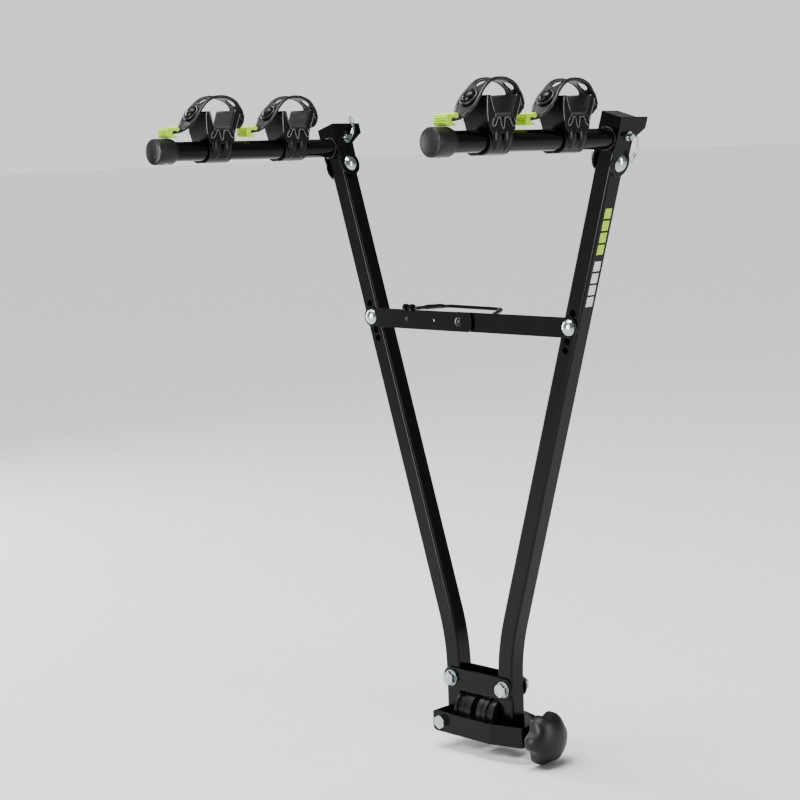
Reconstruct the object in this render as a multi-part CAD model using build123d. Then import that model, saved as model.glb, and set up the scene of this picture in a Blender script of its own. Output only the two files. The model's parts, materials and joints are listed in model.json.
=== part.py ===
"""Folding V-frame bicycle rack that clamps on the ball of a tow bar.

Millimetres, +Z up. The origin is the centre of the tow ball. The legs open in the XZ plane,
the right leg towards +X, and the carrying arms point towards -Y.
"""
import os
from math import cos, radians, sin, tan

from build123d import *

# Leg tubes
TUBE = 25.4
TUBE_WALL = 2.0
TUBE_CORNER = 3.0
HALF_TUBE = TUBE / 2
LEG_SLANT = 16.49
LEG_FOOT_Z = -27.0
LEG_PIVOT_X = 48.0
LEG_PIVOT_Z = 42.0
LEG_BEND_Z = 93.4
LEG_BEND_R = 290.0
STRUT_Z = 536.0
STRUT_X = LEG_PIVOT_X + (STRUT_Z - LEG_BEND_Z) * tan(radians(LEG_SLANT))
ARM_PIVOT_Z = 744.0
LEG_TOP = 27.0
FACE_HOLES = (19.0, -19.0, -31.0)
FACE_HOLE_R = 4.5

# Fits
GAP = 0.3
RUN = 0.05

# Base bracket
PLATE = 3.0
BASE_HALF_X = 63.0
BASE_LOW_Z = 26.5
BASE_HIGH_Z = 57.0
M10_R = 5.0
M10_FLATS = 17.0
M10_HEAD = 6.4
WASHER_R = 11.0
WASHER = 1.5

# Ball cups
BALL_R = 25.0
CUP_R = 26.0
CUP_NECK_R = 23.5
CUP_RIM_X = 5.0

# Clamp yoke, its hinge and its screw
YOKE_LOW_Z = -30.0
YOKE_HIGH_Z = -2.0
YOKE_LEFT_X = -67.8
YOKE_TAPER_X = 40.0
YOKE_RIGHT_X = 88.0
YOKE_HALF_Y = 37.5
YOKE_END_HALF_Y = 24.0
HINGE_Z = -15.0
SCREW_Z = -17.0
SCREW_TIP_R = 3.0
PAD_X = 71.0
PAD_LENGTH = 6.0
PAD_R = 7.0
WELD_NUT = 7.0
KNOB_X = 100.0
KNOB_R = 36.0
KNOB_HEIGHT = 30.0
KNOB_RECESS = 6.0
KNOB_FLUTES = 6

# Folding strut
BAR_HALF = 13.0
KNEE_X = -8.5
LEFT_BAR_END_X = 15.0
RIGHT_BAR_END_X = -22.0
JOGGLE = (-168.0, -139.0)
BAR_STEP = 3.5
M8_R = 4.0
DOME_R = 10.7
DOME_HEIGHT = 5.5
BAIL_R = 2.5
BAIL_Y = -18.0
BAIL_BACK_Y = 48.0
BAIL_LEFT_X = -98.0
BAIL_RIGHT_X = 30.0

# Arms, in the frame of the arm pivot: x across the leg, z along it
ARM_RISE = 0.9
ARM_R = 12.7
ARM_ABOVE_PIVOT = 27.0
ARM_END_Y = -325.0
CAP_R = 17.0
CAP_LENGTH = 30.0
BRACKET_HALF = 16.2
BRACKET_FRONT_Y = -17.0
BRACKET_BACK_Y = 14.0
BRACKET_EAR_Y = 34.0
BRACKET_TOP = 58.0
WEB_LOW = 13.0
LUG_R = 17.0
LOCK_PIN_UP = 35.0
LOCK_PIN_Y = 2.0
LOCK_PIN_R = 4.0
CLIP_R = 1.3

# Cradles and straps, in the frame of the tube axis under the cradle
CRADLE_Y = (("front", -224.0), ("rear", -92.0))
CRADLE_HALF = 19.0
SLEEVE_R = 16.8
STRAP_PIN = (37.0, 42.0)
STRAP_PIN_R = 3.0
STRAP_BOSS_R = 6.5
STRAP_HALF = 12.0
STRAP_THICK = 3.0
STRAP_BUTTON = (-35.2, 51.2)
TAB_START = (-65.0, 27.5)
TAB_END = (-82.0, 22.0)
TAB_THICK = 8.0
SEAT_LINE = ((-21.5, 51), (-16, 30), (-13, 25.5), (13, 25.5), (16, 30), (23.5, 51.5))
PAD_LINE = ((20, 51.5), (13.5, 33), (10.5, 29), (-10.5, 29), (-13.5, 33), (-18, 51))


# ---------------------------------------------------------------- helpers
def block(low, high):
    """Box between two corners."""
    size = [b - a for a, b in zip(low, high)]
    middle = [(a + b) / 2 for a, b in zip(low, high)]
    return Pos(*middle) * Box(*size)


def rod(start, direction, radius, length, hole=0.0):
    """Round bar, or round sleeve, from a point along a direction."""
    ring = Circle(radius) - Circle(hole) if hole else Circle(radius)
    return extrude(Plane(origin=start, z_dir=direction) * ring, length)


def hexagon(start, direction, flats, height, hole=0.0):
    """Hexagon head or nut with a chamfered free end."""
    shape = RegularPolygon(flats / 2, 6, major_radius=False)
    if hole:
        shape -= Circle(hole)
    solid = extrude(Plane(origin=start, z_dir=direction) * shape, height)
    crown = flats / 2 * 1.08
    cone = Plane(origin=start, z_dir=direction) * Cone(
        crown + height, crown, height, align=(Align.CENTER, Align.CENTER, Align.MIN))
    return solid & cone


def dome(start, direction, radius, height):
    """Low mushroom head, flat side at the start point."""
    ball_r = (radius ** 2 + height ** 2) / (2 * height)
    face = Plane(origin=start, z_dir=direction)
    ball = face * Pos(0, 0, height - ball_r) * Sphere(ball_r)
    return ball & (face * Cylinder(radius, height, align=(Align.CENTER, Align.CENTER, Align.MIN)))


def outline_xz(face, low_y, high_y):
    """Extrude a face drawn in x and z from low_y to high_y."""
    front = Plane(origin=(0, high_y, 0), x_dir=(1, 0, 0), z_dir=(0, -1, 0))
    return extrude(front * face, high_y - low_y, dir=(0, -1, 0))


def side_profile(points, half_x):
    """Extrude a polygon drawn in y and z over both sides of x = 0."""
    face = Plane(origin=(-half_x, 0, 0), x_dir=(0, 1, 0), z_dir=(1, 0, 0)) * Polygon(*points, align=None)
    return extrude(face, 2 * half_x, dir=(1, 0, 0))


def leg_x(z):
    """Centreline of the slanted part of the right leg."""
    return LEG_PIVOT_X + (z - LEG_BEND_Z) * tan(radians(LEG_SLANT))


def leg_frame(side, z):
    """Frame on the leg's centreline: z along the leg, x across it."""
    return Location((side * leg_x(z), 0, z), (0, side * LEG_SLANT, 0))


def arm_frame(side):
    """Frame of the arm pivot, pitched by the small rise of the arm."""
    return leg_frame(side, ARM_PIVOT_Z) * Location((0, 0, 0), (-ARM_RISE, 0, 0))


def cradle_frame(side, y):
    """Upright frame on the arm's axis under a cradle."""
    return arm_frame(side) * Location((0, y, ARM_ABOVE_PIVOT), (0, -side * LEG_SLANT, 0))


# ---------------------------------------------------------------- base and legs
def base_plate(side_y):
    """Flat plate that holds both leg pivots, on one face of the legs."""
    middle_z = (BASE_LOW_Z + BASE_HIGH_Z) / 2
    height = BASE_HIGH_Z - BASE_LOW_Z
    face = Pos(0, middle_z) * RectangleRounded(2 * BASE_HALF_X, height, height / 2 - 0.5)
    for side in (-1, 1):
        face -= Pos(side * LEG_PIVOT_X, LEG_PIVOT_Z) * Circle(M10_R)
    near = HALF_TUBE + GAP
    low, high = (near, near + PLATE) if side_y > 0 else (-near - PLATE, -near)
    return outline_xz(face, low, high)


def pivot_hardware():
    """Bolts, washers and nuts of the two leg pivots."""
    plate_y = HALF_TUBE + GAP + PLATE
    bolts, washers, nuts = [], [], []
    for side in (-1, 1):
        x = side * LEG_PIVOT_X
        front = (x, -plate_y, LEG_PIVOT_Z)
        back = (x, plate_y, LEG_PIVOT_Z)
        head = (x, -plate_y - WASHER, LEG_PIVOT_Z)
        bolts.append(hexagon(head, (0, -1, 0), M10_FLATS, M10_HEAD)
                     + rod(head, (0, 1, 0), M10_R, 2 * plate_y + 2 * WASHER + 13))
        washers.append(rod(front, (0, -1, 0), WASHER_R, WASHER, M10_R))
        washers.append(rod(back, (0, 1, 0), WASHER_R, WASHER, M10_R))
        nuts.append(hexagon((x, plate_y + WASHER, LEG_PIVOT_Z), (0, 1, 0), M10_FLATS, 8.4, M10_R))
    return bolts, washers, nuts


def leg_tube(side):
    """Square tube, upright at the jaw, bent outwards above the base bracket."""
    foot = (side * LEG_PIVOT_X, 0, LEG_FOOT_Z)
    bend = (side * LEG_PIVOT_X, 0, LEG_BEND_Z)
    top = (leg_frame(side, ARM_PIVOT_Z) * Location((0, 0, LEG_TOP))).position
    path = FilletPolyline(foot, bend, (top.X, 0, top.Z), radius=LEG_BEND_R)
    inner = TUBE - 2 * TUBE_WALL
    section = RectangleRounded(TUBE, TUBE, TUBE_CORNER)
    section -= RectangleRounded(inner, inner, TUBE_CORNER - TUBE_WALL)
    leg = sweep(Pos(*foot) * section, path=path)
    leg -= rod((foot[0], -TUBE, LEG_PIVOT_Z), (0, 1, 0), M10_R + RUN, 2 * TUBE)
    leg -= rod((side * STRUT_X, -TUBE, STRUT_Z), (0, 1, 0), M8_R, 2 * TUBE)
    strut = leg_frame(side, STRUT_Z)
    for along in FACE_HOLES:
        leg -= strut * rod((0, -TUBE, along), (0, 1, 0), FACE_HOLE_R, TUBE)
    leg -= leg_frame(side, ARM_PIVOT_Z) * rod((-TUBE, 0, 0), (1, 0, 0), M10_R, 2 * TUBE)
    if side < 0:
        leg -= rod((foot[0], -TUBE, HINGE_Z), (0, 1, 0), M10_R, 2 * TUBE)
    return leg


def ball_cup(side):
    """Half of the jaw: a stepped round cup on the inner face of the leg."""
    base_x = LEG_PIVOT_X - HALF_TUBE
    steps = ((CUP_R, 4.5), (CUP_NECK_R, 9.0), (CUP_R, 3.5), (CUP_NECK_R + 1.8, 5.0),
             (CUP_R, base_x - CUP_RIM_X - 22.0))
    x = -base_x
    cup = None
    for radius, length in steps:
        piece = rod((x, 0, 0), (1, 0, 0), radius, length)
        cup = piece if cup is None else cup + piece
        x += length
    cup -= Sphere(BALL_R + GAP)
    return cup if side < 0 else mirror(cup, about=Plane.YZ)


# ---------------------------------------------------------------- clamp
def clamp_yoke():
    """Flat strip bent into a long loop round both legs and the jaw."""
    left, right, taper = YOKE_LEFT_X, YOKE_RIGHT_X, YOKE_TAPER_X
    half, end = YOKE_HALF_Y, YOKE_END_HALF_Y
    outer = Polygon((left, -half), (taper, -half), (right, -end), (right, end), (taper, half),
                    (left, half), align=None)
    inner = offset(outer, -PLATE, kind=Kind.INTERSECTION)
    outer = fillet(outer.vertices(), PLATE + 2)
    inner = fillet(inner.vertices(), 2.0)
    yoke = extrude(Pos(0, 0, YOKE_LOW_Z) * (outer - inner), YOKE_HIGH_Z - YOKE_LOW_Z, dir=(0, 0, 1))
    yoke -= rod((-LEG_PIVOT_X, -2 * half, HINGE_Z), (0, 1, 0), M10_R + RUN, 4 * half)
    return yoke - rod((right - 2 * PLATE, 0, SCREW_Z), (1, 0, 0), M10_R + 0.5, 4 * PLATE)


def hinge_hardware():
    """Bolt, nut and spacers that hold the clamp yoke on the left leg."""
    x = -LEG_PIVOT_X
    outside = YOKE_HALF_Y + GAP
    head = (x, -outside, HINGE_Z)
    bolt = hexagon(head, (0, -1, 0), M10_FLATS, M10_HEAD) + rod(head, (0, 1, 0), M10_R, 2 * outside + 11)
    nut = hexagon((x, outside, HINGE_Z), (0, 1, 0), M10_FLATS, 8.4, M10_R)
    length = YOKE_HALF_Y - PLATE - GAP - HALF_TUBE
    spacers = [rod((x, side * HALF_TUBE, HINGE_Z), (0, side, 0), 8.0, length, M10_R) for side in (-1, 1)]
    return bolt, nut, spacers


def pressure_pad():
    """Round foot that the screw pushes against the right leg."""
    pad = rod((PAD_X, 0, SCREW_Z), (1, 0, 0), PAD_R, PAD_LENGTH)
    return pad - rod((PAD_X + 2, 0, SCREW_Z), (1, 0, 0), SCREW_TIP_R + RUN, PAD_LENGTH)


def clamp_screw():
    """Clamp spindle with a thin tip that turns in the pad."""
    tip = rod((PAD_X + 2.5, 0, SCREW_Z), (1, 0, 0), SCREW_TIP_R, PAD_LENGTH)
    shank_x = PAD_X + PAD_LENGTH + GAP
    return tip + rod((shank_x, 0, SCREW_Z), (1, 0, 0), M10_R, KNOB_X + 20 - shank_x)


def knob():
    """Domed hand knob with finger flutes and a hollow underside."""
    face = Plane(origin=(KNOB_X, 0, SCREW_Z), x_dir=(0, 1, 0), z_dir=(1, 0, 0))
    outline = Circle(KNOB_R)
    for index in range(KNOB_FLUTES):
        turn = 360 / KNOB_FLUTES * (index + 0.5)
        outline -= Rot(0, 0, turn) * Pos(KNOB_R + 7.5, 0) * Circle(12.0)
    body = extrude(face * outline, KNOB_HEIGHT)
    dome_r = (KNOB_R ** 2 + KNOB_HEIGHT ** 2) / (2 * KNOB_HEIGHT)
    body &= Pos(KNOB_X + KNOB_HEIGHT - dome_r, 0, SCREW_Z) * Sphere(dome_r)
    body -= rod((KNOB_X - 1, 0, SCREW_Z), (1, 0, 0), KNOB_R - 13, KNOB_RECESS + 1)
    return body - rod((KNOB_X, 0, SCREW_Z), (1, 0, 0), M10_R, 20)


# ---------------------------------------------------------------- strut
def bar_outline(start_x, end_x, corner):
    """Strut bar seen from the front, round at the bolt and soft at the free end."""
    middle = (start_x + end_x) / 2
    face = Pos(middle, STRUT_Z) * Rectangle(abs(end_x - start_x), 2 * BAR_HALF)
    free = face.vertices().group_by(Axis.X)[-1 if end_x > start_x else 0]
    face = fillet(free, corner)
    face += Pos(start_x, STRUT_Z) * Circle(BAR_HALF)
    face -= Pos(start_x, STRUT_Z) * Circle(M8_R + RUN)
    return face - Pos(KNEE_X, STRUT_Z) * Circle(M8_R)


def left_bar():
    """Strut bar of the left leg, stepped forwards to pass in front of the other one."""
    face = bar_outline(-STRUT_X, LEFT_BAR_END_X, 8.0)
    face -= Pos(KNEE_X - 46.5, STRUT_Z) * Circle(2.3)
    near = -HALF_TUBE - GAP
    start, step = JOGGLE
    back = [(-STRUT_X - 20, near), (start, near), (step, near - BAR_STEP), (30, near - BAR_STEP)]
    front = [(x, y - PLATE) for x, y in reversed(back)]
    plan = extrude(Pos(0, 0, STRUT_Z - 20) * Polygon(*back, *front, align=None), 40, dir=(0, 0, 1))
    return outline_xz(face, near - BAR_STEP - PLATE, near) & plan


def right_bar():
    """Flat strut bar of the right leg."""
    near = -HALF_TUBE - GAP
    return outline_xz(bar_outline(STRUT_X, RIGHT_BAR_END_X, 8.0), near - PLATE, near)


def knee_rivet():
    """The two halves of the knee rivet, each in its own bar."""
    back = -HALF_TUBE - GAP
    front = back - BAR_STEP - PLATE
    head = dome((KNEE_X, front, STRUT_Z), (0, -1, 0), 6.5, 3.0)
    head += rod((KNEE_X, front, STRUT_Z), (0, 1, 0), M8_R, PLATE)
    tail = dome((KNEE_X, back, STRUT_Z), (0, 1, 0), 5.0, 2.4)
    tail += rod((KNEE_X, back, STRUT_Z), (0, -1, 0), M8_R, PLATE)
    return head, tail


def bail_lugs():
    """Clip on the left bar that the wire bail swings in, with its small rivet."""
    top = STRUT_Z + BAR_HALF
    back = -HALF_TUBE - GAP - BAR_STEP
    lugs = []
    for x in (-98.0, -110.0):
        lug = block((x, back, top - 16), (x + 5, back + 2.5, top))
        lug += rod((x, BAIL_Y, top + BAIL_R + GAP), (1, 0, 0), 5.0, 5.0)
        lug += block((x, back - 1, top), (x + 5, back + 2.5, top + 2))
        lug -= block((x - 1, back - PLATE, top - 20), (x + 6, back, top))
        lugs.append(lug - rod((x - 1, BAIL_Y, top + BAIL_R + GAP), (1, 0, 0), BAIL_R + RUN, 7.0))
    front = back - PLATE
    return lugs + [dome((-104.0, front, STRUT_Z), (0, -1, 0), 3.4, 2.0)]


def lock_bail():
    """Bent wire that lies level behind the strut and swings up."""
    z = STRUT_Z + BAR_HALF + BAIL_R + GAP
    points = [(-112, BAIL_Y, z), (-84, BAIL_Y, z), (BAIL_LEFT_X + 14, -4, z),
              (BAIL_LEFT_X, BAIL_BACK_Y, z), (BAIL_RIGHT_X - 12, BAIL_BACK_Y - 8, z), (BAIL_RIGHT_X + 6, -4, z)]
    path = FilletPolyline(*points, radius=6.5)
    start = Plane(origin=points[0], z_dir=(1, 0, 0))
    return sweep(start * Circle(BAIL_R), path=path)


def cross_bolt(frame, head_x, nut_x, radius, head):
    """Bolt along the frame's x axis with a domed head, and its nut."""
    way = 1 if head_x > nut_x else -1
    bolt = dome((head_x, 0, 0), (way, 0, 0), head, DOME_HEIGHT)
    bolt += rod((head_x, 0, 0), (-way, 0, 0), radius, abs(head_x - nut_x) + 11)
    nut = hexagon((nut_x, 0, 0), (-way, 0, 0), M10_FLATS, 8.0, radius)
    return frame * bolt, frame * nut


def strut_bolt(side):
    """Domed bolt that carries one end of the strut, and its nut behind the leg."""
    head_y = -HALF_TUBE - 2 * GAP - PLATE
    bolt = dome((0, head_y, 0), (0, -1, 0), DOME_R, DOME_HEIGHT)
    bolt += rod((0, head_y, 0), (0, 1, 0), M8_R, HALF_TUBE - head_y + 9)
    nut = hexagon((0, HALF_TUBE, 0), (0, 1, 0), 13.0, 6.5, M8_R)
    place = Pos(side * STRUT_X, 0, STRUT_Z)
    return place * bolt, place * nut


# ---------------------------------------------------------------- arms
def arm_bracket(side):
    """Folded channel that carries the arm and swings on the leg's pivot bolt."""
    half, front, top = BRACKET_HALF, BRACKET_FRONT_Y, BRACKET_TOP
    web = block((-half, front, WEB_LOW), (half, front + PLATE, top))
    roof = block((-half, front, top - PLATE), (half, BRACKET_BACK_Y, top))
    body = web + roof
    for way in (-1, 1):
        inner, outer = sorted((way * half, way * (half - PLATE)))
        back = BRACKET_EAR_Y if way > 0 else BRACKET_BACK_Y
        cheek = Polygon((front, WEB_LOW), (-13.0, -9.0), (13.0, -9.0), (BRACKET_BACK_Y, 30.0),
                        (back, top - 14.0), (back, top), (front, top), align=None)
        cheek += Circle(LUG_R)
        face = Plane(origin=(inner, 0, 0), x_dir=(0, 1, 0), z_dir=(1, 0, 0)) * cheek
        body += extrude(face, outer - inner, dir=(1, 0, 0))
    body = body.clean()
    body -= rod((-2 * half, 0, 0), (1, 0, 0), M10_R + RUN, 4 * half)
    body -= rod((-2 * half, LOCK_PIN_Y, LOCK_PIN_UP), (1, 0, 0), LOCK_PIN_R + RUN, 4 * half)
    return arm_frame(side) * body


def arm_tube(side):
    """Round carrying tube welded to the bracket's front web."""
    start = (0, BRACKET_FRONT_Y, ARM_ABOVE_PIVOT)
    length = BRACKET_FRONT_Y - ARM_END_Y - 2.5
    return arm_frame(side) * rod(start, (0, -1, 0), ARM_R, length, ARM_R - TUBE_WALL)


def end_cap(side):
    """Thick rounded cap over the free end of the arm."""
    cap = rod((0, ARM_END_Y, ARM_ABOVE_PIVOT), (0, 1, 0), CAP_R, CAP_LENGTH)
    cap = fillet(cap.edges().group_by(Axis.Y)[0], 5.0)
    cap = fillet(cap.edges().group_by(Axis.Y)[-1], 1.5)
    return arm_frame(side) * (cap - rod((0, ARM_END_Y + 2.5, ARM_ABOVE_PIVOT), (0, 1, 0), ARM_R, CAP_LENGTH))


def cap_rivet(side):
    """Small button under the cap that keeps it on the tube."""
    button = dome((0, ARM_END_Y + 17, ARM_ABOVE_PIVOT - CAP_R + 1), (0, 0, -1), 3.5, 3.4)
    cap = rod((0, ARM_END_Y, ARM_ABOVE_PIVOT), (0, 1, 0), CAP_R, CAP_LENGTH)
    return arm_frame(side) * (button - cap)


def lock_pin(side):
    """Spring-clip pin through the bracket, with an eye at its outer end."""
    axis = (0, LOCK_PIN_Y, LOCK_PIN_UP)
    pin = rod((-BRACKET_HALF - 5, axis[1], axis[2]), (1, 0, 0), LOCK_PIN_R, 2 * BRACKET_HALF + 13)
    collar = rod((BRACKET_HALF + GAP, axis[1], axis[2]), (1, 0, 0), 6.0, 2.0)
    eye_x = BRACKET_HALF + 5.5
    eye = rod((eye_x, axis[1] - 6, axis[2]), (0, 1, 0), CLIP_R + 0.1, 12)
    return arm_frame(side) * (pin + collar - eye)


def lock_clip(side):
    """Bent wire clip through the eye of the lock pin: it hangs on the right and stands on the left."""
    x, y, z = BRACKET_HALF + 5.5, LOCK_PIN_Y, LOCK_PIN_UP
    tail = z - 33 if side > 0 else z + 20
    path = FilletPolyline((x, y - 9, z), (x, y + 14, z), (x, y + 15, tail), (x, y + 8, tail), radius=3.4)
    wire = sweep(Plane(origin=(x, y - 9, z), z_dir=(0, 1, 0)) * Circle(CLIP_R), path=path)
    return arm_frame(side) * wire


# ---------------------------------------------------------------- cradles and straps
def cradle(side, y):
    """Moulded yoke on the arm: a sleeve, an open seat with two ears, and lugs for the strap."""
    profile = [(-19, 9), (-25, 14), (-27, 30), (-27, 49), (-25, 52), *SEAT_LINE,
               (26.5, 53), (30, 50.5), (30.5, 46), (21, 28), (23, 14), (18, 9)]
    body = side_profile(profile, CRADLE_HALF)
    body += rod((0, -CRADLE_HALF, 0), (0, 1, 0), SLEEVE_R, 2 * CRADLE_HALF)
    body += block((-17, -CRADLE_HALF + 3, 0), (17, CRADLE_HALF - 3, 16))
    body -= rod((0, -3 * CRADLE_HALF, 0), (0, 1, 0), ARM_R, 6 * CRADLE_HALF)
    body -= block((-3, -2 * CRADLE_HALF, -2 * SLEEVE_R), (3, 2 * CRADLE_HALF, 0))
    pin_y, pin_z = STRAP_PIN
    for way in (-1, 1):
        lug = side_profile([(15, 22), (pin_y + 4, pin_z - 5), (pin_y + 4, pin_z + 5), (24, 37)], 1.25)
        body += Pos(way * (STRAP_HALF + 2.25), 0, 0) * lug
    body += rod((-STRAP_HALF - 3.5, pin_y, pin_z), (1, 0, 0), STRAP_PIN_R, 2 * STRAP_HALF + 7)
    post = Vector(-10.0, 0, 12.6).normalized()
    body += rod((0, -26, 43), (0, post.X, post.Z), 3.5, 8.9)
    return cradle_frame(side, y) * body


def cradle_pad(side, y):
    """Soft liner of the seat."""
    return cradle_frame(side, y) * side_profile([*SEAT_LINE, *PAD_LINE], CRADLE_HALF - 1)


def strap(side, y):
    """Rubber strap over the seat, hinged on the rear lugs, with the button it closes on."""
    pin_y, pin_z = STRAP_PIN
    points = [(0, pin_y + 1, pin_z + 5), (0, pin_y + 2.5, 57), (0, 27, 69), (0, 4, 73), (0, -16, 65),
              (0, -38, 47.5), (0, -54, 33.5), (0, *TAB_START)]
    path = FilletPolyline(*points, radius=8)
    start = Plane(origin=points[0], x_dir=(1, 0, 0), z_dir=path % 0)
    band = sweep(start * Rectangle(2 * STRAP_HALF, STRAP_THICK), path=path)
    band += rod((-STRAP_HALF, pin_y, pin_z), (1, 0, 0), STRAP_BOSS_R, 2 * STRAP_HALF)
    band -= rod((-2 * STRAP_HALF, pin_y, pin_z), (1, 0, 0), STRAP_PIN_R + RUN, 4 * STRAP_HALF)
    band += dome((0, *STRAP_BUTTON), (0, -10.0, 12.6), 7.0, 4.5)
    return cradle_frame(side, y) * band


def strap_tab(side, y):
    """Bright moulded pull tab at the free end of the strap."""
    along = Vector(0, TAB_END[0] - TAB_START[0], TAB_END[1] - TAB_START[1])
    start = Plane(origin=(0, *TAB_START), x_dir=(1, 0, 0), z_dir=along)
    section = Pos(0, 0, 1) * RectangleRounded(2 * STRAP_HALF - 4, TAB_THICK, 2.0)
    tab = extrude(start * section, along.length - 1, dir=along.normalized())
    return cradle_frame(side, y) * tab


# ---------------------------------------------------------------- assembly
def assembly():
    """Every named piece of the rack."""
    bolts, washers, nuts = pivot_hardware()
    hinge_bolt, hinge_nut, spacers = hinge_hardware()
    rivet_head, rivet_tail = knee_rivet()
    pieces = {
        "base_front_plate": base_plate(-1), "base_back_plate": base_plate(1),
        "leg_pivot_bolts": bolts, "leg_pivot_washers": washers, "leg_pivot_nuts": nuts,
        "clamp_yoke": clamp_yoke(), "clamp_hinge_bolt": hinge_bolt, "clamp_hinge_nut": hinge_nut,
        "clamp_spacers": spacers, "pressure_pad": pressure_pad(), "clamp_screw": clamp_screw(),
        "clamp_knob": knob(), "left_strut_bar": left_bar(), "right_strut_bar": right_bar(),
        "knee_rivet_head": rivet_head, "knee_rivet_tail": rivet_tail, "bail_lugs": bail_lugs(),
        "lock_bail": lock_bail(),
        "clamp_weld_nut": hexagon((YOKE_RIGHT_X, 0, SCREW_Z), (1, 0, 0), M10_FLATS, WELD_NUT, M10_R + RUN),
    }
    for name, side in (("left", -1), ("right", 1)):
        pieces[f"{name}_leg_tube"] = leg_tube(side)
        pieces[f"{name}_ball_cup"] = ball_cup(side)
        pieces[f"{name}_strut_bolt"], pieces[f"{name}_strut_nut"] = strut_bolt(side)
        pivot = leg_frame(side, ARM_PIVOT_Z)
        reach = BRACKET_HALF + GAP
        bolt, nut = cross_bolt(pivot, reach, -reach, M10_R, DOME_R)
        pieces[f"{name}_arm_bolt"], pieces[f"{name}_arm_nut"] = bolt, nut
        pieces[f"{name}_arm_bracket"] = arm_bracket(side)
        pieces[f"{name}_arm_tube"] = arm_tube(side)
        pieces[f"{name}_end_cap"] = end_cap(side)
        pieces[f"{name}_cap_rivet"] = cap_rivet(side)
        pieces[f"{name}_lock_pin"] = lock_pin(side)
        pieces[f"{name}_lock_clip"] = lock_clip(side)
        for place, y in CRADLE_Y:
            pieces[f"{name}_{place}_cradle"] = cradle(side, y)
            pieces[f"{name}_{place}_pad"] = cradle_pad(side, y)
            pieces[f"{name}_{place}_strap"] = strap(side, y)
            pieces[f"{name}_{place}_tab"] = strap_tab(side, y)
    return pieces


def main():
    """Write one STEP file for each piece."""
    os.makedirs("parts", exist_ok=True)
    for name, shape in assembly().items():
        solid = Compound(children=shape) if isinstance(shape, list) else shape
        export_step(solid, f"parts/{name}.step")


main()
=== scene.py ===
"""Looks of the tow-ball bicycle rack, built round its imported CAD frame. Lengths here are in millimetres
and turn into metres in the helpers. +Z is up, the arms point towards -Y."""
import json
from math import cos, pi, radians, sin, sqrt

import bmesh
import bpy
from mathutils import Matrix, Vector

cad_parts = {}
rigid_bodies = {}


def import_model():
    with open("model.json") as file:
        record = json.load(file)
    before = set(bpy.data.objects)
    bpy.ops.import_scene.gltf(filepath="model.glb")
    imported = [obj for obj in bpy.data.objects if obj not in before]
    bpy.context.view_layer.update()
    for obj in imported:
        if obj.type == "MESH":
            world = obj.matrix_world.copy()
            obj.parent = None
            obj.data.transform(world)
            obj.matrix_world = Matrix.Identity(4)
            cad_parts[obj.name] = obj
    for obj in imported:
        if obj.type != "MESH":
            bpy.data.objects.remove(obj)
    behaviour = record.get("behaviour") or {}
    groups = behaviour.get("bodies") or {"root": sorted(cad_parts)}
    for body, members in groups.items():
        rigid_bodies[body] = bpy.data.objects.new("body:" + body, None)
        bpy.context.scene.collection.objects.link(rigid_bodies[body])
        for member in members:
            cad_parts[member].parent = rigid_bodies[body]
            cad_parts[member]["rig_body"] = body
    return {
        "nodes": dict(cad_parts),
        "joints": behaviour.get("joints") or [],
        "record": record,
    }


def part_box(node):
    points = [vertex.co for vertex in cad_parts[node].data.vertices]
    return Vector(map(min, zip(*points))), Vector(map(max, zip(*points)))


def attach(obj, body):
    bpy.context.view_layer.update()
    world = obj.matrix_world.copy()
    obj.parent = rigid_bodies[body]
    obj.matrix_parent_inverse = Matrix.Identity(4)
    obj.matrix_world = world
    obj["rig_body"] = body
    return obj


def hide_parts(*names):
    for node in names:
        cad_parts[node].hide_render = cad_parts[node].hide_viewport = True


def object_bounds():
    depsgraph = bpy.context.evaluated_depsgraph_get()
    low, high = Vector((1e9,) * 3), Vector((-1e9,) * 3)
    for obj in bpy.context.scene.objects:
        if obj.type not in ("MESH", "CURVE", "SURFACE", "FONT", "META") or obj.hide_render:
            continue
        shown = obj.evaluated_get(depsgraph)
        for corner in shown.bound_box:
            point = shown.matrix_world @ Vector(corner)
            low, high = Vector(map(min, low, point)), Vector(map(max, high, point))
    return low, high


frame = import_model()
cad_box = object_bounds()

MM = 0.001
SIDES = ("left", "right")
PLACES = ("front", "rear")
ARM_RISE = radians(0.9)
ARM_ABOVE_PIVOT = 27.0
TUBE_R = 12.7
WELD_R = 13.2
WELD_Y = -17.9
CAP_R = 17.0
CAP_START = -325.0
CAP_LENGTH = 30.0
BORE_R = TUBE_R + 0.1
LOCK_EYE = (21.7, 2.0, 35.0)
CRADLE_HALF = 19.0
SLEEVE_OUT_R = 16.0
SLEEVE_IN_R = 12.9
LEAF_REACH = 17.6
# Radius of the thin lines that carry the painted edge highlights on the cradles and liners.
EDGE_HIGHLIGHT_R = 0.42
STRAP_PIN = (37.0, 42.0)
BUTTON_AT = (-35, 48)
REAR_PAD_AT = (40.6, 42)
SCREW_Z = -17.0
THREAD_R = 4.75
BAIL_TOP = 551.8
BAIL_LOW = 548.6
LABEL_FIRST = -186.0
LABEL_LENGTH = 12.8
LABEL_GAP = 2.8
LABEL_BREAK = 6.0
LABEL_HALF = 6.2
WORLD_SEEN = 1.12
WORLD_LIT = 0.25
CAMERA_AT = (1.728, -1.833, 0.782)
CAMERA_TURN, CAMERA_TILT, CAMERA_ROLL = radians(45.61), radians(-7.88), radians(2.22)
CAMERA_LENS = 85.46
JOINTS = {joint["name"]: joint for joint in frame["joints"]}


# ---------------------------------------------------------------- materials
def node(tree, kind, **values):
    """New shader node with some of its properties or inputs set."""
    made = tree.nodes.new(kind)
    for key, value in values.items():
        if hasattr(made, key):
            setattr(made, key, value)
        else:
            made.inputs[key.replace("_", " ")].default_value = value
    return made


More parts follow.
